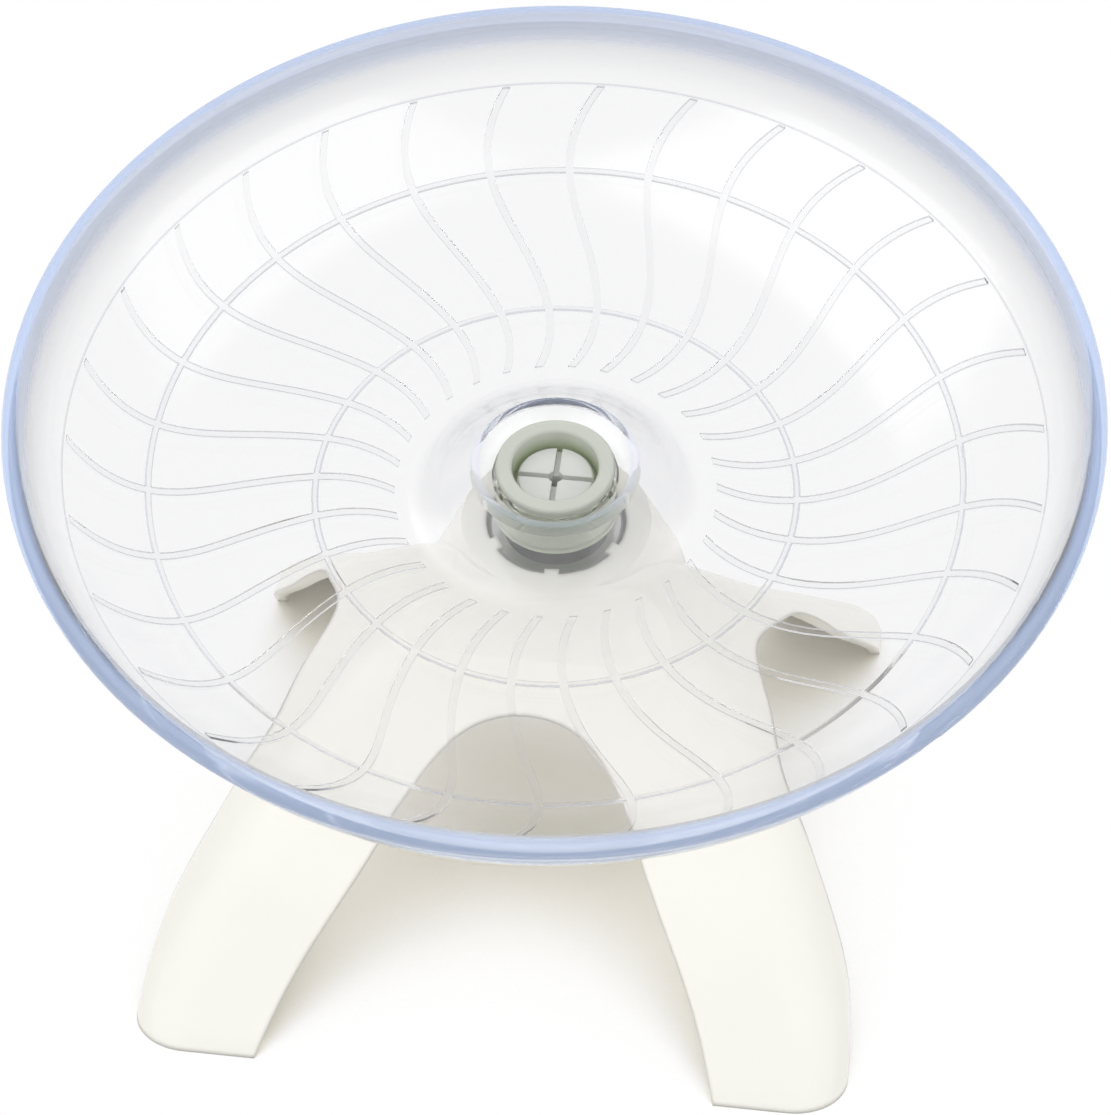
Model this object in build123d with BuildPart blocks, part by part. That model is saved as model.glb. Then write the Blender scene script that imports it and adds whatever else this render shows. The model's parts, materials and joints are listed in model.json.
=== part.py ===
from build123d import *
import math
import os

# A flying saucer exercise wheel for small pets: a clear dish that spins on a
# sealed ball bearing, held at a tilt by a white four-legged stand.
# Sizes are in millimetres. Z is up and the floor is Z = 0, X runs from side to
# side, and the low side of the dish faces -Y.

# Placing of the dish
tilt = 20.0                  # lean of the spin axis towards the front, degrees
dish_height = 59.06          # floor to the dish's inner floor, on the spin axis

# Dish: wall and bowl
dish_wall = 2.2
floor_flat_radius = 39.9     # flat part of the dish's floor
bowl_arc_radius = 60.5       # first curve, up from the floor
bowl_arc_angle = 40.2
side_arc_radius = 16.4       # second, tighter curve, up to the rim
side_arc_angle = 40.6
rim_bead_radius = 1.85

# Dish: running surface
rib_count = 30
rib_width = 1.3
rib_height = 0.45
rib_inner_radius = 26.4
rib_outer_radius = 78.6
rib_inner_sway = 3.0         # how far the S bends off its radial line, near the hub
rib_outer_sway = 4.3         # and near the rim
rib_turn = 7.2               # turn of the first rib off +X, degrees
inner_ring_radius = 39.5
outer_ring_radius = 66.2
ring_bead_radius = 0.65
ring_bead_sink = 0.2         # bead's centre below the inner face

# Dish: hub boss, a hollow crater round the sleeve
boss_base_radius = 26.0
boss_flare_radius = 22.2
boss_flare_share = 0.35      # share of the boss's flank taken up by the flare
boss_rim_radius = 13.1
boss_rim_half_width = 0.6
boss_rim_drop = 0.4
boss_height = 7.5
collar_wall = 1.1
collar_top = 5.0
collar_root = 3.2            # where the collar's outside meets the boss
collar_lip = 0.55

# Hub sleeve, which carries the dish on the bearing's inner race
sleeve_radius = 9.5
sleeve_bore_radius = 7.1
sleeve_top = 6.3
sleeve_bead_radius = 9.75
sleeve_flange_radius = 9.9
sleeve_flange_top = -3.6
sleeve_flange_bottom = -4.2
sleeve_ledge_top = 0.9
sleeve_spigot_radius = 5.7
sleeve_edge = 0.3            # bevel on the rims of the sleeve and the pin's head
push_clearance = 0.05        # radial, between parts pushed together by hand

# Ball bearing, 8 x 22 x 7
bearing_bore_radius = 4.0
bearing_outer_radius = 11.0
bearing_width = 7.0
inner_race_radius = 6.1      # outside of the inner race
outer_race_radius = 8.9      # inside of the outer race
ball_radius = 1.98
ball_pitch_radius = 7.5
ball_count = 7
groove_clearance = 0.07
seal_thickness = 0.4
seal_recess = 0.25
seal_gap = 0.3               # seal's lip to the inner race
seal_hold = 0.3              # depth of the seal's edge in the outer race
seal_slack = 0.04
cage_wall = 1.1
cage_height = 4.9
race_chamfer = 0.3

# Axle pin, pushed down through the sleeve and the bearing, four sprung legs
pin_clearance = 0.03
pin_head_radius = 6.3
pin_head_height = 2.4
pin_hole_radius = 1.15
pin_slot_width = 0.9
pin_slot_top = -4.5
pin_barb_radius = 4.6
pin_barb_height = 2.2
pin_tip_radius = 3.2
head_notch_depth = 1.2

# Stand: plan of the dome at heights above the floor, as half width, half length
# and the radius of its four corners
dome_plans = (
    (0.0, 56.0, 71.5, 9.0),
    (8.0, 54.6, 61.0, 9.5),
    (16.0, 50.2, 49.7, 10.0),
    (24.0, 45.4, 38.2, 11.0),
    (31.0, 41.0, 28.5, 12.0),
    (37.5, 34.6, 21.0, 12.0),
    (43.0, 25.5, 15.0, 10.0),
    (47.0, 16.0, 10.0, 7.0),
)
foot_half_length = dome_plans[0][2]
stand_wall = 2.4
hollow_shift = 1.8           # the hollow is the outside moved in and down by this

# Stand: arches between the legs, as half widths at heights
end_arch_height = 35.2
end_arch_shape = (1.0, 0.0), (0.866, 0.25), (0.672, 0.5), (0.479, 0.75), (0.283, 0.93)
end_arch_half_width = 35.7
side_arch_height = 37.0
side_arch_shape = (1.0, 0.0), (0.80, 0.25), (0.61, 0.5), (0.45, 0.75), (0.21, 0.93)
side_arch_half_width = 56.0

# Stand: turret with the bearing's seat
turret_top = -7.9            # along the spin axis, from the dish's floor
bearing_recess = 0.8         # bearing below the turret's top
seat_radius = 11.6
seat_lip_radius = 8.9
seat_lip_thickness = 1.9
seat_rib_count = 6
seat_rib_width = 2.4
seat_rib_turn = 33.0         # turn of the first seat rib off +X, degrees
seat_clearance = 0.02
hook_radius = 10.4
turret_radius = 15.6
turret_root_radius = 22.0
turret_depth = 16.0
cup_wall = 2.2
floor_margin = 10.0          # how far cutting shapes run below the floor


def polar(radius, angle):
    """Point at a radius and an angle in degrees, measured from the vertical."""
    return radius * math.sin(math.radians(angle)), -radius * math.cos(math.radians(angle))


# Frame of the dish: Z is the spin axis, its origin is on the dish's floor.
side_dx, side_dz = polar(side_arc_radius, bowl_arc_angle)
join_dx, join_dz = polar(bowl_arc_radius, bowl_arc_angle)
end_angle = bowl_arc_angle + side_arc_angle
end_dx, end_dz = polar(side_arc_radius, end_angle)
side_centre_x = floor_flat_radius + join_dx - side_dx
side_centre_z = bowl_arc_radius + join_dz - side_dz
rim_height = side_centre_z + end_dz
tilt_sin = math.sin(math.radians(tilt))
tilt_cos = math.cos(math.radians(tilt))
dish_plane = Plane(
    origin=(0, rim_height * tilt_sin, dish_height),
    x_dir=(1, 0, 0),
    z_dir=(0, -tilt_sin, tilt_cos),
)
dish_section = Plane(origin=dish_plane.origin, x_dir=(1, 0, 0), z_dir=-dish_plane.y_dir)
spin_axis = Axis(dish_plane.origin, dish_plane.z_dir)

bearing_top = turret_top - bearing_recess
bearing_bottom = bearing_top - bearing_width
bearing_middle = bearing_top - bearing_width / 2
collar_bore_radius = sleeve_radius + push_clearance
collar_bottom = sleeve_flange_top + push_clearance
pin_shank_radius = bearing_bore_radius - pin_clearance
groove_radius = ball_radius + groove_clearance


def bowl_point(offset, angle):
    """Point of the bowl's section, at an angle of slope and a distance below the inner face."""
    if angle <= bowl_arc_angle:
        dx, dz = polar(bowl_arc_radius + offset, angle)
        return floor_flat_radius + dx, bowl_arc_radius + dz
    dx, dz = polar(side_arc_radius + offset, angle)
    return side_centre_x + dx, side_centre_z + dz


def bowl_section(lower, upper):
    """Closed outline of the bowl's wall between two distances below its inner face."""
    inner_start = (boss_base_radius, -upper)
    outer_start = (boss_base_radius, -lower)
    half = bowl_arc_angle / 2
    side_half = bowl_arc_angle + side_arc_angle / 2
    Line(inner_start, bowl_point(upper, 0))
    ThreePointArc(bowl_point(upper, 0), bowl_point(upper, half), bowl_point(upper, bowl_arc_angle))
    ThreePointArc(
        bowl_point(upper, bowl_arc_angle), bowl_point(upper, side_half), bowl_point(upper, end_angle)
    )
    Line(bowl_point(upper, end_angle), bowl_point(lower, end_angle))
    ThreePointArc(
        bowl_point(lower, end_angle), bowl_point(lower, side_half), bowl_point(lower, bowl_arc_angle)
    )
    ThreePointArc(bowl_point(lower, bowl_arc_angle), bowl_point(lower, half), bowl_point(lower, 0))
    Line(bowl_point(lower, 0), outer_start)
    Line(outer_start, inner_start)


def turned_plane(angle):
    """The dish's floor plane with its X axis turned round the spin axis, in degrees."""
    turn = math.radians(angle)
    x_dir = dish_plane.x_dir * math.cos(turn) + dish_plane.y_dir * math.sin(turn)
    return Plane(origin=dish_plane.origin, x_dir=x_dir, z_dir=dish_plane.z_dir)


def ring_section(inner, outer, bottom, top):
    """Rectangular section of a ring about the spin axis."""
    with Locations(((inner + outer) / 2, (bottom + top) / 2)):
        Rectangle(outer - inner, top - bottom)


def boss_flank(drop):
    """Flank of the boss, from the dish's floor up to its rim, lowered by a distance."""
    foot = (boss_base_radius, -drop)
    knee = (boss_flare_radius, -drop)
    top = (boss_rim_radius + boss_rim_half_width, boss_height - boss_rim_drop - drop)
    shift_x = (top[0] - knee[0]) * boss_flare_share
    shift_z = (top[1] - knee[1]) * boss_flare_share
    bend = (knee[0] + shift_x, knee[1] + shift_z)
    Bezier(foot, knee, bend)
    Line(bend, top)
    return foot, top


def arch_outline(half_width, height, shape):
    """Outline of an arch standing on the floor and running on below it."""
    left = [(-half_width * across, height * up) for across, up in shape]
    right = [(-x, z) for x, z in reversed(left)]
    Spline(*left, (0, height), *right)
    Polyline(right[-1], (half_width, -floor_margin), (-half_width, -floor_margin), left[0])


def turret_outline(inset):
    """Outline of one side of the turret's cone, moved inwards by a distance."""
    Polyline(
        (0, turret_top - inset),
        (turret_radius - inset, turret_top - inset),
        (turret_root_radius - inset, turret_top - turret_depth),
        (0, turret_top - turret_depth),
        close=True,
    )


def dome(shift, top_limit):
    """Four-sided dome moved in and down by a distance, cut off parallel to the dish's floor."""
    with BuildPart() as block:
        for height, half_width, half_length, corner in dome_plans:
            with BuildSketch(Plane.XY.offset(height - shift)):
                RectangleRounded(2 * (half_width - shift), 2 * (half_length - shift), corner - shift)
        loft()
        split(bisect_by=dish_plane.offset(top_limit), keep=Keep.BOTTOM)
    return block.part


# Saucer: one rib of the running surface, an S-shaped strip cut out of a thin
# layer on the bowl's inner face
with BuildPart() as rib:
    with BuildSketch(dish_section):
        with BuildLine():
            bowl_section(dish_wall / 2, -rib_height)
        make_face()
    revolve(axis=spin_axis)
    with BuildSketch(turned_plane(rib_turn).offset(-dish_wall)):
        with BuildLine():
            rib_sides = [
                [
                    (rib_inner_radius, side),
                    (inner_ring_radius, side - rib_inner_sway),
                    ((inner_ring_radius + outer_ring_radius) / 2, side),
                    (outer_ring_radius, side + rib_outer_sway),
                    (rib_outer_radius, side),
                ]
                for side in (-rib_width / 2, rib_width / 2)
            ]
            Spline(*rib_sides[0])
            Spline(*rib_sides[1])
            Line(rib_sides[0][0], rib_sides[1][0])
            Line(rib_sides[0][-1], rib_sides[1][-1])
        make_face()
    extrude(amount=rim_height, mode=Mode.INTERSECT)

# Saucer: all the ribs round the dish
rib_step = 360 / rib_count
rib_set = [rib.part.rotate(spin_axis, number * rib_step) for number in range(rib_count)]

# Saucer: wall, rolled rim, ring beads and hub boss turned in one section
with BuildPart() as saucer:
    with BuildSketch(dish_section):
        with BuildLine():
            bowl_section(dish_wall, 0)
        make_face()
        with Locations(bowl_point(dish_wall / 2, end_angle)):
            Circle(rim_bead_radius)
        outer_ring_angle = math.degrees(math.asin((outer_ring_radius - floor_flat_radius) / bowl_arc_radius))
        with Locations((inner_ring_radius, -ring_bead_sink), bowl_point(ring_bead_sink, outer_ring_angle)):
            Circle(ring_bead_radius)
        with BuildLine():
            foot, top = boss_flank(0)
            low_foot, low_top = boss_flank(dish_wall)
            Line(foot, low_foot)
            inner_lip = (boss_rim_radius - boss_rim_half_width, boss_height - boss_rim_drop)
            ThreePointArc(top, (boss_rim_radius, boss_height), inner_lip)
            Polyline(
                inner_lip,
                (collar_bore_radius + collar_lip, collar_top),
                (collar_bore_radius, collar_top),
                (collar_bore_radius, collar_bottom),
                (collar_bore_radius + collar_wall, collar_bottom),
                (collar_bore_radius + collar_wall, collar_root),
                low_top,
            )
        make_face()
    revolve(axis=spin_axis)
    add(rib_set, clean=False)
saucer.part.label = "saucer"

# Hub sleeve: bead on the collar, flange under it, spigot on the inner race
with BuildPart() as hub_sleeve:
    with BuildSketch(dish_section):
        with BuildLine():
            Polyline(
                (bearing_bore_radius, bearing_top),
                (sleeve_spigot_radius, bearing_top),
                (sleeve_spigot_radius, sleeve_flange_bottom),
                (sleeve_flange_radius, sleeve_flange_bottom),
                (sleeve_flange_radius, sleeve_flange_top),
                (sleeve_radius, sleeve_flange_top),
                (sleeve_radius, collar_top + push_clearance),
                (sleeve_bead_radius, collar_top + push_clearance),
                (sleeve_bead_radius, sleeve_top - sleeve_edge),
                (sleeve_bead_radius - sleeve_edge, sleeve_top),
                (sleeve_bore_radius + sleeve_edge, sleeve_top),
                (sleeve_bore_radius, sleeve_top - sleeve_edge),
                (sleeve_bore_radius, sleeve_ledge_top),
                (bearing_bore_radius, sleeve_ledge_top),
                close=True,
            )
        make_face()
    revolve(axis=spin_axis)
hub_sleeve.part.label = "hub_sleeve"

# Axle pin: head in the sleeve, split shank, barbs under the inner race
pin_head_top = sleeve_ledge_top + pin_head_height
barb_top = bearing_bottom - push_clearance
barb_bottom = barb_top - pin_barb_height
with BuildPart() as axle_pin:
    with BuildSketch(dish_section):
        with BuildLine():
            Polyline(
                (pin_hole_radius, pin_head_top),
                (pin_head_radius - sleeve_edge, pin_head_top),
                (pin_head_radius, pin_head_top - sleeve_edge),
                (pin_head_radius, sleeve_ledge_top),
                (pin_shank_radius, sleeve_ledge_top),
                (pin_shank_radius, barb_top),
                (pin_barb_radius, barb_top),
                (pin_barb_radius, barb_top - sleeve_edge),
                (pin_tip_radius, barb_bottom),
                (pin_hole_radius, barb_bottom),
                close=True,
            )
        make_face()
    revolve(axis=spin_axis)
    with BuildSketch(dish_plane.offset(barb_bottom)):
        Rectangle(2 * pin_barb_radius, pin_slot_width)
        Rectangle(pin_slot_width, 2 * pin_barb_radius)
    extrude(amount=pin_slot_top - barb_bottom, mode=Mode.SUBTRACT)
    with BuildSketch(dish_plane.offset(pin_head_top)):
        Rectangle(2 * pin_head_radius, pin_slot_width)
        Rectangle(pin_slot_width, 2 * pin_head_radius)
    extrude(amount=-head_notch_depth, mode=Mode.SUBTRACT)
axle_pin.part.label = "axle_pin"

# Ball bearing: balls
ball_plane = dish_plane.offset(bearing_middle)
with BuildPart() as bearing_balls:
    with Locations(ball_plane):
        with PolarLocations(ball_pitch_radius, ball_count):
            Sphere(ball_radius)
bearing_balls.part.label = "bearing_balls"

# Ball bearing: inner race with its groove
with BuildPart() as bearing_inner_race:
    with BuildSketch(dish_section):
        ring_section(bearing_bore_radius, inner_race_radius, bearing_bottom, bearing_top)
        with Locations((ball_pitch_radius, bearing_middle)):
            Circle(groove_radius, mode=Mode.SUBTRACT)
    revolve(axis=spin_axis)
bearing_inner_race.part.label = "bearing_inner_race"

# Ball bearing: outer race with its groove and the seats of both seals
seal_outer_radius = outer_race_radius + seal_hold
upper_seal_top = bearing_top - seal_recess
lower_seal_top = bearing_bottom + seal_recess + seal_thickness
with BuildPart() as bearing_outer_race:
    with BuildSketch(dish_section) as race_section:
        ring_section(outer_race_radius, bearing_outer_radius, bearing_bottom, bearing_top)
        chamfer(race_section.vertices().group_by(Axis.X)[-1], race_chamfer)
        with Locations((ball_pitch_radius, bearing_middle)):
            Circle(groove_radius, mode=Mode.SUBTRACT)
        for seal_top in (upper_seal_top, lower_seal_top):
            with Locations((outer_race_radius, seal_top - seal_thickness / 2)):
                Rectangle(2 * (seal_hold + seat_clearance), seal_thickness + seal_slack, mode=Mode.SUBTRACT)
    revolve(axis=spin_axis)
bearing_outer_race.part.label = "bearing_outer_race"

# Ball bearing: cage between the races, with a pocket for each ball
with BuildPart() as bearing_cage:
    with BuildSketch(dish_section):
        ring_section(
            ball_pitch_radius - cage_wall / 2,
            ball_pitch_radius + cage_wall / 2,
            bearing_middle - cage_height / 2,
            bearing_middle + cage_height / 2,
        )
    revolve(axis=spin_axis)
    with Locations(ball_plane):
        with PolarLocations(ball_pitch_radius, ball_count):
            Cylinder(groove_radius, 2 * cage_wall, rotation=(0, 90, 0), mode=Mode.SUBTRACT)
bearing_cage.part.label = "bearing_cage"

# Ball bearing: upper seal, the dark ring that shows round the sleeve
with BuildPart() as bearing_seal_upper:
    with BuildSketch(dish_section):
        ring_section(inner_race_radius + seal_gap, seal_outer_radius, upper_seal_top - seal_thickness, upper_seal_top)
    revolve(axis=spin_axis)
bearing_seal_upper.part.label = "bearing_seal_upper"

# Ball bearing: lower seal
with BuildPart() as bearing_seal_lower:
    with BuildSketch(dish_section):
        ring_section(inner_race_radius + seal_gap, seal_outer_radius, lower_seal_top - seal_thickness, lower_seal_top)
    revolve(axis=spin_axis)
bearing_seal_lower.part.label = "bearing_seal_lower"

# Stand: hollow dome with a tilted turret, arches and the bearing's seat
seat_floor = bearing_bottom - seat_clearance
cup_bottom = seat_floor - seat_lip_thickness
with BuildPart() as stand:
    add(dome(0, turret_top))
    with BuildSketch(dish_section):
        with BuildLine():
            turret_outline(0)
        make_face()
    revolve(axis=spin_axis)
    add(dome(hollow_shift, turret_top - stand_wall), mode=Mode.SUBTRACT)
    with BuildSketch(dish_section):
        with BuildLine():
            turret_outline(stand_wall)
        make_face()
    revolve(axis=spin_axis, mode=Mode.SUBTRACT)
    with BuildSketch(dish_plane.offset(turret_top)):
        Circle(seat_radius + cup_wall)
    extrude(amount=cup_bottom - turret_top)
    with BuildSketch(dish_plane.offset(turret_top)):
        Circle(seat_radius)
    extrude(amount=seat_floor - turret_top, mode=Mode.SUBTRACT)
    with BuildSketch(dish_plane.offset(turret_top)):
        Circle(seat_lip_radius)
    extrude(amount=cup_bottom - turret_top, mode=Mode.SUBTRACT)
    # six ribs that grip the bearing, each with a small hook over its top
    for number in range(seat_rib_count):
        turned = turned_plane(seat_rib_turn + number * 360 / seat_rib_count)
        grip = seat_radius + cup_wall / 2 - bearing_outer_radius - seat_clearance
        with BuildSketch(turned.offset(turret_top)):
            with Locations((bearing_outer_radius + seat_clearance + grip / 2, 0)):
                Rectangle(grip, seat_rib_width)
        extrude(amount=seat_floor - turret_top)
        hook = seat_radius + cup_wall / 2 - hook_radius
        with BuildSketch(turned.offset(turret_top)):
            with Locations((hook_radius + hook / 2, 0)):
                Rectangle(hook, seat_rib_width)
        extrude(amount=seat_clearance - bearing_recess)
    with BuildSketch(Plane.XZ):
        with BuildLine():
            arch_outline(end_arch_half_width, end_arch_height, end_arch_shape)
        make_face()
    extrude(amount=2 * foot_half_length, both=True, mode=Mode.SUBTRACT)
    with BuildSketch(Plane.YZ):
        with BuildLine():
            arch_outline(side_arch_half_width, side_arch_height, side_arch_shape)
        make_face()
    extrude(amount=2 * foot_half_length, both=True, mode=Mode.SUBTRACT)
    split(bisect_by=Plane.XY, keep=Keep.TOP)
stand.part.label = "stand"

os.makedirs("parts", exist_ok=True)
export_step(saucer.part, "parts/saucer.step")
export_step(hub_sleeve.part, "parts/hub_sleeve.step")
export_step(axle_pin.part, "parts/axle_pin.step")
export_step(bearing_outer_race.part, "parts/bearing_outer_race.step")
export_step(bearing_inner_race.part, "parts/bearing_inner_race.step")
export_step(bearing_balls.part, "parts/bearing_balls.step")
export_step(bearing_cage.part, "parts/bearing_cage.step")
export_step(bearing_seal_upper.part, "parts/bearing_seal_upper.step")
export_step(bearing_seal_lower.part, "parts/bearing_seal_lower.step")
export_step(stand.part, "parts/stand.step")
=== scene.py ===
"""A flying saucer exercise wheel: finishes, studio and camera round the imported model."""

import json
import logging
from dataclasses import dataclass, field
from enum import Enum
from typing import Any, ClassVar

import bmesh
import bpy
from mathutils import Matrix, Vector

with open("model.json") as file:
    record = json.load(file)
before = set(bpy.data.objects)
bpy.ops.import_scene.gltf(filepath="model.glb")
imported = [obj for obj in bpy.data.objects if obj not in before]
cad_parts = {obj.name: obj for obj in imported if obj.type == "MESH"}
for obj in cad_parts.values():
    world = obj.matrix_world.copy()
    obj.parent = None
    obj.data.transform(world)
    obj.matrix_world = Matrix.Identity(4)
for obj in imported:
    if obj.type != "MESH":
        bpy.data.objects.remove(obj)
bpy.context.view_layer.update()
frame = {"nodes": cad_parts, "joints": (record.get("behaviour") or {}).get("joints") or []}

log = logging.getLogger("saucer_wheel")

Colour = tuple[float, float, float]
Span = tuple[float, float]
Settings = dict[str, Any] | None


class Maths(Enum):
    """The Math node operations that the finishes use."""

    ADD = "ADD"
    SUBTRACT = "SUBTRACT"
    MULTIPLY = "MULTIPLY"
    POWER = "POWER"
    LARGEST = "MAXIMUM"
    SMALLEST = "MINIMUM"


class Noise(Enum):
    """Scales of the fine marks on a moulded surface, in cells per metre."""

    CLOUDS = 18.0
    RIPPLE = 90.0
    GRAIN = 1400.0


class Tree:
    """A node tree that finishes are written into."""

    def __init__(self, tree: bpy.types.NodeTree) -> None:
        """Start from an empty tree.

        Args:
            tree: The tree of a material or of the world.
        """
        self.tree = tree
        self.tree.nodes.clear()

    def node(self, kind: str, settings: Settings = None, **inputs: Any) -> bpy.types.Node:
        """Add a node, set it up and feed its sockets.

        Args:
            kind: The node's type.
            settings: Values of the node's own properties.
            inputs: Socket values or links, by socket name with _ for a space, or i0, i1 for a place.

        Returns:
            The new node.
        """
        made = self.tree.nodes.new(kind)
        for name, value in (settings or {}).items():
            setattr(made, name, value)
        for name, value in inputs.items():
            socket = made.inputs[int(name[1:])] if name[0] == "i" and name[1:].isdigit() else None
            socket = socket or made.inputs[name.replace("_", " ")]
            if isinstance(value, Value):
                self.tree.links.new(value.socket, socket)
            elif isinstance(value, bpy.types.NodeSocket):
                self.tree.links.new(value, socket)
            else:
                socket.default_value = value
        return made

    def value(self, kind: str, out: int | str = 0, settings: Settings = None, **inputs: Any) -> "Value":
        """Add a node and wrap one of its outputs.

        Args:
            kind: The node's type.
            out: The output's place or name.
            settings: Values of the node's own properties.
            inputs: Socket values or links.

        Returns:
            The wrapped output.
        """
        return Value(self, self.node(kind, settings, **inputs).outputs[out])

    def place(self) -> "Value":
        """Return the point's place in the object's own frame, in metres."""
        return self.value("ShaderNodeTexCoord", "Object")

    def noise(self, scale: Noise, detail: float = 3.0) -> "Value":
        """Return noise from 0 to 1 at a scale.

        Args:
            scale: The noise's scale.
            detail: Octaves of the noise.

        Returns:
            The noise.
        """
        inputs = {"Vector": self.place(), "Scale": scale.value, "Detail": detail}
        return self.value("ShaderNodeTexNoise", **inputs)

    def vector(self, operation: str, first: Any, second: Any, out: str = "Vector") -> "Value":
        """Return a Vector Math node's result.

        Args:
            operation: The node's operation.
            first: The first vector or link.
            second: The second vector or link.
            out: The output to use.

        Returns:
            The node's result.
        """
        return self.value("ShaderNodeVectorMath", out, {"operation": operation}, i0=first, i1=second)

    def blend(self, share: "Value", low: Any, high: Any) -> "Value":
        """Return a mix of two colours.

        Args:
            share: 0 gives low, 1 gives high.
            low: A colour or link.
            high: A colour or link.

        Returns:
            The mixed colour.
        """
        low, high = ((*c, 1.0) if isinstance(c, tuple) else c for c in (low, high))
        made = self.node("ShaderNodeMix", {"data_type": "RGBA"}, Factor=share, i6=low, i7=high)
        return Value(self, made.outputs[2])

    def band(self, value: "Value", span: Span) -> "Value":
        """Return a smooth step from 0 below a span to 1 above it.

        Args:
            value: The value that is tested.
            span: Where the step starts and where it ends.

        Returns:
            The step.
        """
        settings = {"interpolation_type": "SMOOTHSTEP"}
        return self.value("ShaderNodeMapRange", 0, settings, Value=value, i1=span[0], i2=span[1])

    def bump(self, height: "Value", distance: float, strength: float = 1.0) -> "Value":
        """Return a normal bent by a height.

        Args:
            height: The height, from 0 to 1.
            distance: The height's size in metres.
            strength: How much of it shows.

        Returns:
            The bent normal.
        """
        return self.value("ShaderNodeBump", Height=height, Distance=distance, Strength=strength)


@dataclass(frozen=True)
class Value:
    """A socket that Python's operators turn into Math nodes."""

    tree: Tree
    socket: bpy.types.NodeSocket

    def combine(self, operation: Maths, first: Any, second: Any) -> "Value":
        """Add a Math node.

        Args:
            operation: What the node does.
            first: The first value or number.
            second: The second value or number.

        Returns:
            The node's result.
        """
        settings = {"operation": operation.value}
        return self.tree.value("ShaderNodeMath", 0, settings, i0=first, i1=second)

    def __add__(self, other: Any) -> "Value":
        """Return the sum."""
        return self.combine(Maths.ADD, self, other)

    def __radd__(self, other: Any) -> "Value":
        """Return the sum."""
        return self.combine(Maths.ADD, other, self)

    def __sub__(self, other: Any) -> "Value":
        """Return the difference."""
        return self.combine(Maths.SUBTRACT, self, other)

    def __rsub__(self, other: Any) -> "Value":
        """Return the reflected difference."""
        return self.combine(Maths.SUBTRACT, other, self)

    def __mul__(self, other: Any) -> "Value":
        """Return the product."""
        return self.combine(Maths.MULTIPLY, self, other)

    def __rmul__(self, other: Any) -> "Value":
        """Return the product."""
        return self.combine(Maths.MULTIPLY, other, self)

    def __pow__(self, other: Any) -> "Value":
        """Return the power."""
        return self.combine(Maths.POWER, self, other)

    def __or__(self, other: Any) -> "Value":
        """Return the larger of two masks."""
        return self.combine(Maths.LARGEST, self, other)

    def __and__(self, other: Any) -> "Value":
        """Return the smaller of two masks."""
        return self.combine(Maths.SMALLEST, self, other)


@dataclass(frozen=True)
class SpinFrame:
    """The dish's own frame: its floor's middle and its spin axis."""

    middle: Vector
    axis: Vector

    def height(self, tree: Tree) -> Value:
        """Return the height along the axis, in metres.

        Args:
            tree: The tree to write into.

        Returns:
            The height.
        """
        offset = tree.vector("SUBTRACT", tree.place(), tuple(self.middle))
        return tree.vector("DOT_PRODUCT", offset, tuple(self.axis), "Value")

    def radius(self, tree: Tree) -> Value:
        """Return the distance from the axis, in metres.

        Args:
            tree: The tree to write into.

        Returns:
            The distance.
        """
        offset = tree.vector("SUBTRACT", tree.place(), tuple(self.middle))
        across = tree.vector("CROSS_PRODUCT", offset, tuple(self.axis))
        return tree.vector("LENGTH", across, (0.0, 0.0, 0.0), "Value")


def find_spin_frame() -> SpinFrame:
    """Return the dish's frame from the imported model's own joint."""
    joint = next(j for j in frame["joints"] if j["name"] == "saucer_spin")
    return SpinFrame(Vector(joint["pos_m"]), Vector(joint["axis"]).normalized())


SPIN = find_spin_frame()


@dataclass(frozen=True)
class Finish:
    """A finish that can be given to a piece."""

    name: ClassVar[str] = "finish"

    def write(self, tree: Tree) -> bpy.types.NodeSocket:
        """Write the finish's nodes.

        Args:
            tree: The tree to write into.

        Returns:
            The shader's output socket.
        """
        raise NotImplementedError

    def material(self) -> bpy.types.Material:
        """Return the finish as a new material."""
        made = bpy.data.materials.new(self.name)
        made.use_nodes = True
        tree = Tree(made.node_tree)
        shader = self.write(tree)
        tree.node("ShaderNodeOutputMaterial", None, Surface=shader)
        return made

    def dress(self, node: str) -> None:
        """Give the finish to a CAD node.

        Args:
            node: The node's name.
        """
        piece = frame["nodes"][node]
        made = self.material()
        piece.data.materials.clear()
        piece.data.materials.append(made)
        log.info("%s wears %s", node, self.name)


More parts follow.
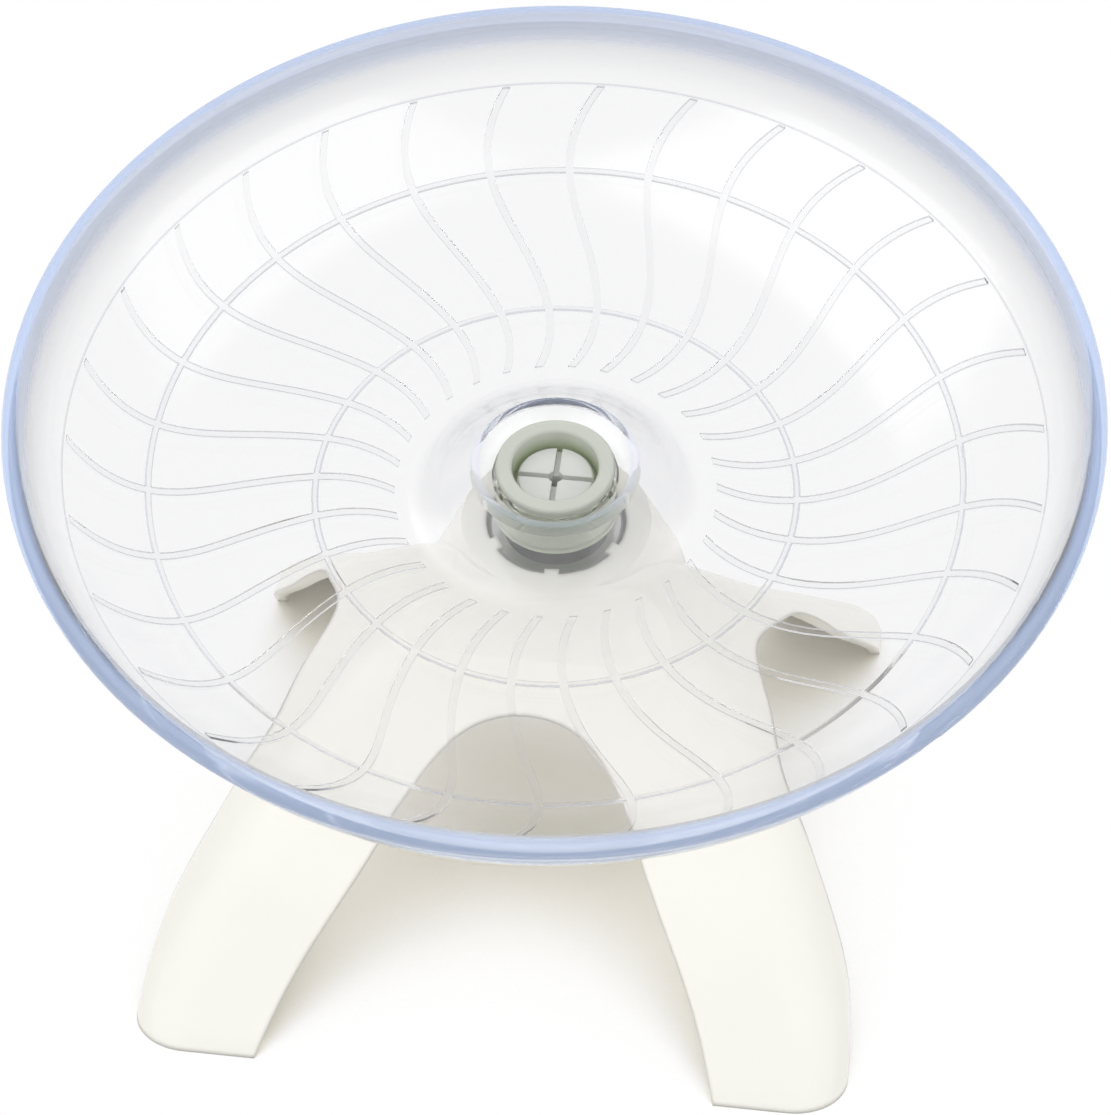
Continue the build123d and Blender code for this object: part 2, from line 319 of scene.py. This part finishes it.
@dataclass(frozen=True)
class ClearDish(Finish):
    """Clear moulded plastic with a faint painted blue edge glow at the rim, the same all the way round.

    Spans and radii are in metres from the spin axis or along it. Each milk, haze, shade, line or glow
    value is the share of the milky layer there, from 0 to 1: real haze, painted grey shade on the boss
    and the steep wall, painted shade lines on the rib flanks and a painted edge glow at the rim and the
    crater.
    """

    name: ClassVar[str] = "clear_dish"
    body: Colour = (0.955, 0.956, 0.962)
    # Painted shade: the darker base colour of the steep upper wall.
    wall: Colour = (0.87, 0.875, 0.885)
    # Grey of the milky layer: real haze, and painted shade where it thickens on the boss and the steep
    # wall.
    grey_haze_and_shade: Colour = (0.50, 0.50, 0.52)
    # Painted shade: the grey-blue of the dark lines on the rib flanks.
    rib: Colour = (0.45, 0.47, 0.56)
    # Painted light: the blue of the edge glow at the rim and the crater.
    glow: Colour = (0.50, 0.62, 0.90)
    flat_radius: float = 0.0399
    bowl_radius: float = 0.0605
    bowl_reach: float = 0.0390
    ribs_start: Span = (0.0255, 0.0260)
    ribs_end: Span = (0.0790, 0.0794)
    flank_foot: Span = (0.00005, 0.00012)
    flank_crest: Span = (0.00034, 0.00043)
    crest_fade: float = 0.75
    rim_start: Span = (0.0845, 0.0860)
    crater_height: Span = (0.0066, 0.0074)
    crater_end: Span = (0.0138, 0.0150)
    boss_start: Span = (0.0115, 0.0130)
    boss_end: Span = (0.0215, 0.0240)
    side_height: Span = (0.0135, 0.0220)
    milky_start: Span = (0.0112, 0.0120)
    glow_fade: Span = (0.0, 0.1)
    milk: float = 0.03
    boss_haze_and_shade: float = 0.07
    side_haze_and_shade: float = 0.17
    rib_shade_lines: float = 0.42
    rim_painted_glow: float = 0.38
    crater_painted_glow: float = 0.1
    most_milk: float = 0.9
    ripple_height: float = 0.0001
    ripple_shown: float = 0.2

    def raised(self, tree: Tree, radius: Value, height: Value) -> Value:
        """Return a mask of the ribs and ring beads that stand on the running surface.

        Args:
            tree: The tree to write into.
            radius: Distance from the spin axis.
            height: Height above the dish's floor.

        Returns:
            1 on a rib's or bead's flanks, less on its crest, 0 elsewhere.
        """
        out = ((radius - self.flat_radius) | 0.0) & self.bowl_reach
        floor = self.bowl_radius - (self.bowl_radius**2 - out * out) ** 0.5
        proud = height - floor
        crest = tree.band(proud, self.flank_crest) * self.crest_fade
        flank = tree.band(proud, self.flank_foot) * (1.0 - crest)
        return flank * tree.band(radius, self.ribs_start) * (1.0 - tree.band(radius, self.ribs_end))

    def write(self, tree: Tree) -> bpy.types.NodeSocket:
        """Write clear plastic with painted shade lines on the ribs, painted grey shade on the boss and
        the steep wall, and a painted edge glow.
        """
        radius = SPIN.radius(tree)
        height = SPIN.height(tree)
        # Painted light: a blue edge glow painted into the milky layer at the rim and in the crater round
        # the hub.
        rim = tree.band(radius, self.rim_start) * self.rim_painted_glow
        crater = tree.band(height, self.crater_height) * (1.0 - tree.band(radius, self.crater_end))
        painted_glow_mask = rim | crater * self.crater_painted_glow
        # Painted shade: the grey milky layer is thickened on the boss cone and the steep upper wall.
        boss = tree.band(radius, self.boss_start) * (1.0 - tree.band(radius, self.boss_end))
        side = tree.band(height, self.side_height)
        clouds = tree.noise(Noise.CLOUDS)
        # Rib flanks, where dark shade lines are painted.
        ribs = self.raised(tree, radius, height)
        ripple = tree.noise(Noise.RIPPLE, 2.0)
        bent = tree.bump(ripple, self.ripple_height, self.ripple_shown)
        # Painted shade: the base colour darkens towards the wall colour up the steep wall.
        clear = tree.node(
            "ShaderNodeBsdfPrincipled",
            None,
            Base_Color=tree.blend(side, self.body, self.wall),
            Roughness=0.02 + clouds * 0.05,
            IOR=1.1,
            Transmission_Weight=1.0,
            Coat_Weight=1.0,
            Coat_Roughness=0.16,
            Coat_IOR=1.55,
            Normal=bent,
        )
        # Painted shade lines on the rib flanks, over the grey of the haze and the painted shade on the
        # boss and wall.
        tint = tree.blend(ribs, self.grey_haze_and_shade, self.rib)
        # Painted edge glow at the rim and the crater.
        tint = tree.blend(tree.band(painted_glow_mask, self.glow_fade), tint, self.glow)
        milky = tree.node(
            "ShaderNodeBsdfPrincipled",
            None,
            Base_Color=tint,
            Roughness=0.12 + clouds * 0.1,
            IOR=1.5,
            Normal=bent,
        )
        # A little real haze everywhere, with painted shade added on the boss and the steep wall.
        haze = self.milk + boss * self.boss_haze_and_shade + side * self.side_haze_and_shade
        share = tree.band(radius, self.milky_start) * haze + ribs * self.rib_shade_lines + painted_glow_mask
        share = share & self.most_milk
        mixed = tree.node("ShaderNodeMixShader", None, i0=share, i1=clear.outputs[0], i2=milky.outputs[0])
        return mixed.outputs[0]


@dataclass(frozen=True)
class SageSleeve(Finish):
    """Pale green translucent plastic."""

    name: ClassVar[str] = "sage_sleeve"
    deep: Colour = (0.58, 0.66, 0.44)
    pale: Colour = (0.76, 0.78, 0.73)
    top_start: Span = (0.0022, 0.0058)

    def write(self, tree: Tree) -> bpy.types.NodeSocket:
        """Write milky green plastic that is paler at its top ring."""
        height = SPIN.height(tree)
        top = tree.band(height, self.top_start)
        mottle = tree.noise(Noise.RIPPLE)
        tint = tree.blend(top * 0.8 + mottle * 0.2, self.deep, self.pale)
        edge = tree.value("ShaderNodeBevel", 0, {"samples": 4}, Radius=0.0004)
        shader = tree.node(
            "ShaderNodeBsdfPrincipled",
            None,
            Base_Color=tint,
            Roughness=0.16 + mottle * 0.12,
            IOR=1.45,
            Transmission_Weight=0.3,
            Normal=edge,
        )
        return shader.outputs[0]


@dataclass(frozen=True)
class ClearPin(Finish):
    """Clear plastic with a painted green cast, the light from the sleeve round it."""

    name: ClassVar[str] = "clear_pin"
    # Painted light: the green cast from the sleeve round the pin.
    tint: Colour = (0.90, 0.92, 0.88)
    worn: Colour = (0.96, 0.97, 0.95)

    def write(self, tree: Tree) -> bpy.types.NodeSocket:
        """Write clear, slightly cloudy plastic."""
        clouds = tree.noise(Noise.RIPPLE)
        edge = tree.value("ShaderNodeBevel", 0, {"samples": 4}, Radius=0.0003)
        shader = tree.node(
            "ShaderNodeBsdfPrincipled",
            None,
            Base_Color=tree.blend(clouds, self.tint, self.worn),
            Roughness=0.05 + clouds * 0.1,
            IOR=1.4,
            Transmission_Weight=0.35,
            Normal=edge,
        )
        return shader.outputs[0]


@dataclass(frozen=True)
class WarmWhite(Finish):
    """Glossy, slightly warm white plastic, a little uneven as moulded."""

    name: ClassVar[str] = "warm_white"
    light: Colour = (0.86, 0.85, 0.80)
    warm: Colour = (0.80, 0.785, 0.72)

    def write(self, tree: Tree) -> bpy.types.NodeSocket:
        """Write white plastic with softened edges and faint ripples."""
        clouds = tree.noise(Noise.CLOUDS)
        ripple = tree.noise(Noise.RIPPLE, 1.0)
        grain = tree.noise(Noise.GRAIN, 1.0)
        edge = tree.value("ShaderNodeBevel", 0, {"samples": 6}, Radius=0.0011)
        relief = ripple * 0.9 + grain * 0.1
        bumped = tree.value("ShaderNodeBump", Height=relief, Distance=0.0002, Strength=0.2, Normal=edge)
        shader = tree.node(
            "ShaderNodeBsdfPrincipled",
            None,
            Base_Color=tree.blend(clouds, self.warm, self.light),
            Roughness=0.2 + clouds * 0.08,
            IOR=1.5,
            Normal=bumped,
        )
        return shader.outputs[0]


@dataclass(frozen=True)
class SealRubber(Finish):
    """Black rubber of the bearing's seals, with a faint brown bloom."""

    name: ClassVar[str] = "seal_rubber"
    black: Colour = (0.008, 0.007, 0.006)
    bloom: Colour = (0.035, 0.022, 0.016)

    def write(self, tree: Tree) -> bpy.types.NodeSocket:
        """Write black rubber with concentric turning marks."""
        bloom = tree.noise(Noise.RIPPLE)
        rings = tree.value(
            "ShaderNodeTexNoise", 0, {"noise_dimensions": "1D"}, W=SPIN.radius(tree), Scale=4000.0
        )
        shader = tree.node(
            "ShaderNodeBsdfPrincipled",
            None,
            Base_Color=tree.blend(bloom, self.black, self.bloom),
            Roughness=0.45 + bloom * 0.2,
            Normal=tree.bump(rings, 0.00005, 0.5),
        )
        return shader.outputs[0]


@dataclass(frozen=True)
class Steel(Finish):
    """Ground or polished bearing steel."""

    name: ClassVar[str] = "bearing_steel"
    bright: Colour = (0.62, 0.62, 0.63)
    dull: Colour = (0.44, 0.43, 0.42)
    roughness: float = 0.28

    def write(self, tree: Tree) -> bpy.types.NodeSocket:
        """Write steel with fine rings from grinding."""
        rings = tree.value(
            "ShaderNodeTexNoise", 0, {"noise_dimensions": "1D"}, W=SPIN.radius(tree), Scale=9000.0
        )
        marks = tree.noise(Noise.RIPPLE)
        shader = tree.node(
            "ShaderNodeBsdfPrincipled",
            None,
            Base_Color=tree.blend(marks * 0.5 + rings * 0.5, self.dull, self.bright),
            Roughness=self.roughness + marks * 0.1,
            Metallic=1.0,
            Normal=tree.bump(rings, 0.00002, 0.4),
        )
        return shader.outputs[0]


@dataclass(frozen=True)
class PolishedSteel(Steel):
    """Mirror-like steel of the balls."""

    name: ClassVar[str] = "ball_steel"
    bright: Colour = (0.78, 0.78, 0.79)
    dull: Colour = (0.66, 0.66, 0.67)
    roughness: float = 0.05


@dataclass(frozen=True)
class BrownNylon(Finish):
    """Brown nylon of the bearing's cage."""

    name: ClassVar[str] = "brown_nylon"
    light: Colour = (0.33, 0.17, 0.055)
    dark: Colour = (0.19, 0.09, 0.03)

    def write(self, tree: Tree) -> bpy.types.NodeSocket:
        """Write matt brown nylon with a fine grain."""
        mottle = tree.noise(Noise.RIPPLE)
        grain = tree.noise(Noise.GRAIN)
        shader = tree.node(
            "ShaderNodeBsdfPrincipled",
            None,
            Base_Color=tree.blend(mottle, self.dark, self.light),
            Roughness=0.5 + mottle * 0.15,
            Normal=tree.bump(grain, 0.00003, 0.6),
        )
        return shader.outputs[0]


@dataclass(frozen=True)
class StudioWhite(Finish):
    """The white floor, which shows as white and keeps the object's shadow, with painted shade under the
    object.
    """

    name: ClassVar[str] = "studio_white"
    paint: Colour = (0.93, 0.92, 0.88)
    # Painted shade: the floor's colour under and round the object.
    shade: Colour = (0.84, 0.80, 0.71)
    reach: float = 0.085
    open_span: Span = (0.30, 0.80)

    def write(self, tree: Tree) -> bpy.types.NodeSocket:
        """Write a floor that is plain white in the open and shaded under the object, partly by real light
        and partly by painted shade from ambient occlusion.
        """
        ray = tree.node("ShaderNodeLightPath")
        seen = Value(tree, ray.outputs["Is Camera Ray"]) | Value(tree, ray.outputs["Is Glossy Ray"])
        seen = seen | Value(tree, ray.outputs["Is Transmission Ray"])
        openness = tree.value("ShaderNodeAmbientOcclusion", "AO", {"samples": 8}, Distance=self.reach)
        lit = tree.band(openness, self.open_span)
        # Painted shade: ambient occlusion darkens the floor's colour under the object.
        matt = tree.node("ShaderNodeBsdfDiffuse", None, Color=tree.blend(lit, self.shade, self.paint))
        glow = tree.node("ShaderNodeEmission", None, Color=(1.0, 1.0, 1.0, 1.0), Strength=1.0)
        share = seen * lit
        mixed = tree.node("ShaderNodeMixShader", None, i0=share, i1=matt.outputs[0], i2=glow.outputs[0])
        return mixed.outputs[0]


@dataclass
class Dish:
    """The clear dish with its sleeve and pin."""

    dish: ClearDish = field(default_factory=ClearDish)
    sleeve: SageSleeve = field(default_factory=SageSleeve)
    pin: ClearPin = field(default_factory=ClearPin)

    def build(self) -> None:
        """Dress the dish, the sleeve and the pin."""
        self.dish.dress("saucer")
        # Light goes through clear plastic, so the dish leaves what lies below it lit.
        frame["nodes"]["saucer"].visible_shadow = False
        self.sleeve.dress("hub_sleeve")
        self.pin.dress("axle_pin")


@dataclass
class Bearing:
    """The sealed ball bearing between the dish and the stand."""

    seal: SealRubber = field(default_factory=SealRubber)
    race: Steel = field(default_factory=Steel)
    ball: PolishedSteel = field(default_factory=PolishedSteel)
    cage: BrownNylon = field(default_factory=BrownNylon)

    def build(self) -> None:
        """Dress the seals, the races, the balls and the cage."""
        for node in ("bearing_seal_upper", "bearing_seal_lower"):
            self.seal.dress(node)
        for node in ("bearing_outer_race", "bearing_inner_race"):
            self.race.dress(node)
        self.ball.dress("bearing_balls")
        self.cage.dress("bearing_cage")


@dataclass
class Stand:
    """The white four-legged stand."""

    shell: WarmWhite = field(default_factory=WarmWhite)

    def build(self) -> None:
        """Dress the stand."""
        self.shell.dress("stand")


@dataclass
class Lamp:
    """A soft square lamp that points at the object."""

    name: str
    place: tuple[float, float, float]
    size: float
    power: float
    colour: Colour = (1.0, 1.0, 1.0)
    aim: tuple[float, float, float] = (0.0, 0.0, 0.06)

    def build(self) -> None:
        """Add the lamp."""
        data = bpy.data.lights.new(self.name, "AREA")
        data.shape = "SQUARE"
        data.size = self.size
        data.energy = self.power
        data.color = self.colour
        made = bpy.data.objects.new(self.name, data)
        bpy.context.collection.objects.link(made)
        made.location = self.place
        facing = Vector(self.aim) - Vector(self.place)
        made.rotation_euler = facing.to_track_quat("-Z", "Y").to_euler()


@dataclass
class Studio:
    """Floor, lamps, world and camera."""

    floor_half: float = 3.0
    world_light: float = 0.84
    camera_place: tuple[float, float, float] = (0.0517406, -0.4976156, 0.3697240)
    camera_right: tuple[float, float, float] = (0.9923209, 0.1199905, 0.0300252)
    camera_down: tuple[float, float, float] = (0.0896574, -0.5305473, -0.8429004)
    camera_ahead: tuple[float, float, float] = (-0.0852103, 0.8391197, -0.5372312)
    lens: float = 117.3245
    sensor: float = 36.0
    lamps: tuple[Lamp, ...] = (
        Lamp("left_box", (-0.70, -0.35, 0.95), 1.2, 4.0),
        Lamp("right_box", (0.75, -0.35, 0.95), 1.2, 3.0),
    )

    def build_floor(self) -> None:
        """Add the floor."""
        shape = bmesh.new()
        bmesh.ops.create_grid(shape, x_segments=1, y_segments=1, size=self.floor_half)
        data = bpy.data.meshes.new("studio_floor")
        shape.to_mesh(data)
        shape.free()
        made = bpy.data.objects.new("studio_floor", data)
        bpy.context.collection.objects.link(made)
        data.materials.append(StudioWhite().material())

    def build_world(self) -> None:
        """Make the world white to the camera and a plain soft light to the object."""
        world = bpy.data.worlds.new("studio_world")
        world.use_nodes = True
        bpy.context.scene.world = world
        tree = Tree(world.node_tree)
        ray = tree.node("ShaderNodeLightPath")
        seen = Value(tree, ray.outputs["Is Camera Ray"]) | Value(tree, ray.outputs["Is Transmission Ray"])
        strength = self.world_light + seen * (1.0 - self.world_light)
        light = tree.node("ShaderNodeBackground", None, Color=(1.0, 1.0, 1.0, 1.0), Strength=strength)
        tree.node("ShaderNodeOutputWorld", None, Surface=light.outputs[0])

    def build_camera(self) -> None:
        """Place the camera as fitted to the photograph."""
        data = bpy.data.cameras.new("photo_camera")
        data.sensor_fit = "VERTICAL"
        data.sensor_height = self.sensor
        data.lens = self.lens
        data.clip_start = 0.01
        data.clip_end = 20.0
        made = bpy.data.objects.new("photo_camera", data)
        bpy.context.collection.objects.link(made)
        up, back = ([-v for v in way] for way in (self.camera_down, self.camera_ahead))
        columns = Matrix((self.camera_right, up, back))
        made.matrix_world = Matrix.Translation(self.camera_place) @ columns.transposed().to_4x4()
        bpy.context.scene.camera = made

    def build(self) -> None:
        """Add everything round the object."""
        self.build_floor()
        self.build_world()
        for lamp in self.lamps:
            lamp.build()
        self.build_camera()
        bpy.context.scene.view_settings.view_transform = "Standard"


def main() -> None:
    """Build the object's sub-assemblies and the studio, in order."""
    logging.basicConfig(level=logging.INFO, format="%(name)s: %(message)s")
    for part in (Stand(), Bearing(), Dish(), Studio()):
        part.build()
        log.info("built %s", type(part).__name__)


if __name__ == "__main__":
    main()
